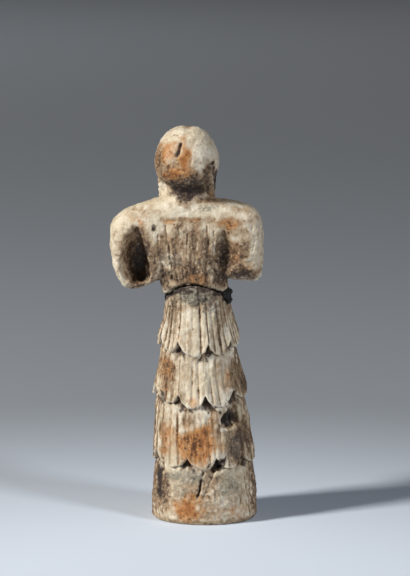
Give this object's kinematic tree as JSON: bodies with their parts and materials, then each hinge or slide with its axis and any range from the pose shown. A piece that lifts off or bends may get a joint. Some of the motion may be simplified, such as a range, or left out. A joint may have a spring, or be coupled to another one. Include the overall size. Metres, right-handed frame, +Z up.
{
  "type": "marble idol",
  "caption": "Small carved stone worshipper with broad shoulders, clasped hands and a tiered tongue skirt on a drum foot, broken and rejoined at the waist.",
  "frame": {"origin": "centre of the oval underside of the skirt's foot, on the surface that the figure stands on", "axes": "+Z up the figure, -Y the way its face looks, +X towards its own left arm"},
  "size_m": [0.0576, 0.0344, 0.15],
  "materials": {
    "marble": "weathered ivory marble, brown in its hollows, with rust-orange stains",
    "bitumen": "matt black old bitumen, ragged where it was squeezed out"
  },
  "bodies": {
    "root": {"skirt": "marble", "upper_body": "marble", "waist_bedding": "bitumen"}
  },
  "joints": []
}
